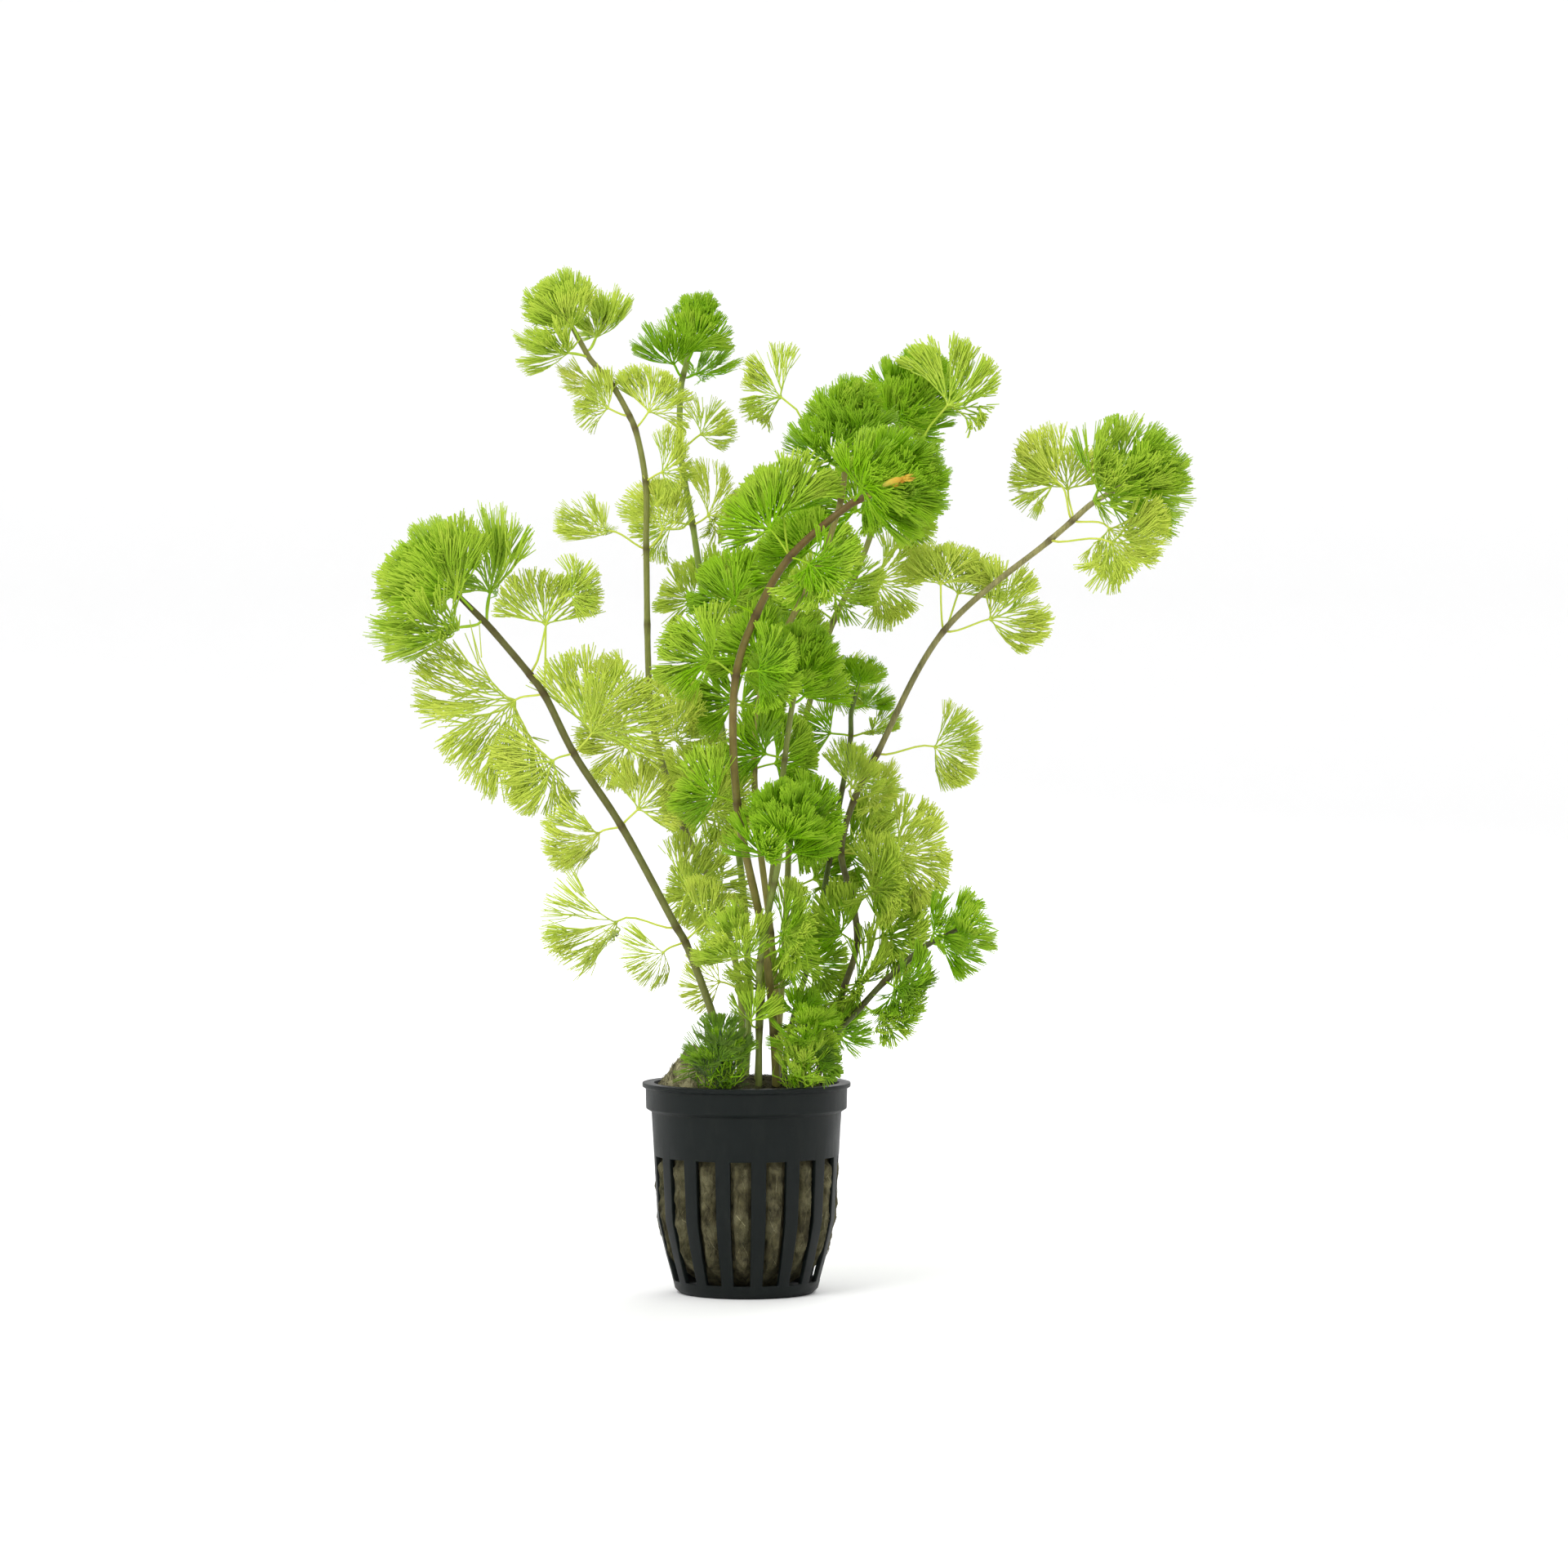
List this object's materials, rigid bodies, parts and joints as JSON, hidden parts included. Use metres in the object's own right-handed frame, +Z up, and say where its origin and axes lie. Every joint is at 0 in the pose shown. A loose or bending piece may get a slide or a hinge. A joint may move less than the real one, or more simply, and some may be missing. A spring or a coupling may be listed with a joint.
{
  "type": "potted cabomba aquarium plant",
  "caption": "Bushy aquarium plant with fan-shaped, finely forked leaves on slender arching stems, in a black slotted net pot filled with rock wool.",
  "frame": {"origin": "middle of the pot's flat foot, on the surface that it stands on", "axes": "+Z up along the pot's axis, -Y towards the front of the plant, +X to the right seen from the front"},
  "size_m": [0.1975, 0.1172, 0.2474],
  "materials": {
    "pot_plastic": "satin black moulded plastic",
    "rock_wool": "matt beige mineral fibre",
    "shoot": "smooth olive-green stem with young leaves",
    "leaf": "soft yellow-green forked leaf"
  },
  "bodies": {
    "root": {"leaf_back_left_1": "leaf", "leaf_back_left_2": "leaf", "leaf_back_left_3": "leaf", "leaf_back_left_4": "leaf", "leaf_back_right_1": "leaf", "leaf_back_right_2": "leaf", "leaf_back_right_3": "leaf", "leaf_far_left_1": "leaf", "leaf_far_left_2": "leaf", "leaf_far_left_3": "leaf", "leaf_far_left_4": "leaf", "leaf_far_left_5": "leaf", "leaf_far_left_6": "leaf", "leaf_far_left_7": "leaf", "leaf_far_left_8": "leaf", "leaf_far_left_9": "leaf", "leaf_far_right_1": "leaf", "leaf_far_right_10": "leaf", "leaf_far_right_11": "leaf", "leaf_far_right_2": "leaf", "leaf_far_right_3": "leaf", "leaf_far_right_4": "leaf", "leaf_far_right_5": "leaf", "leaf_far_right_6": "leaf", "leaf_far_right_7": "leaf", "leaf_far_right_8": "leaf", "leaf_far_right_9": "leaf", "leaf_front_bent_1": "leaf", "leaf_front_bent_2": "leaf", "leaf_front_bent_3": "leaf", "leaf_low_right_1": "leaf", "leaf_middle_1": "leaf", "leaf_middle_2": "leaf", "leaf_middle_3": "leaf", "leaf_short_front_1": "leaf", "leaf_slender_1": "leaf", "leaf_slender_2": "leaf", "leaf_tall_left_1": "leaf", "leaf_tall_left_2": "leaf", "leaf_tall_left_3": "leaf", "leaf_tall_left_4": "leaf", "leaf_tall_left_5": "leaf", "leaf_tall_left_6": "leaf", "leaf_tall_left_7": "leaf", "leaf_tall_left_8": "leaf", "pot": "pot_plastic", "rock_wool": "rock_wool", "shoot_back_left": "shoot", "shoot_back_right": "shoot", "shoot_base_left": "shoot", "shoot_base_right": "shoot", "shoot_far_left": "shoot", "shoot_far_right": "shoot", "shoot_front_bent": "shoot", "shoot_low_right": "shoot", "shoot_middle": "shoot", "shoot_short_front": "shoot", "shoot_short_middle": "shoot", "shoot_slender": "shoot", "shoot_tall_left": "shoot"}
  },
  "joints": []
}
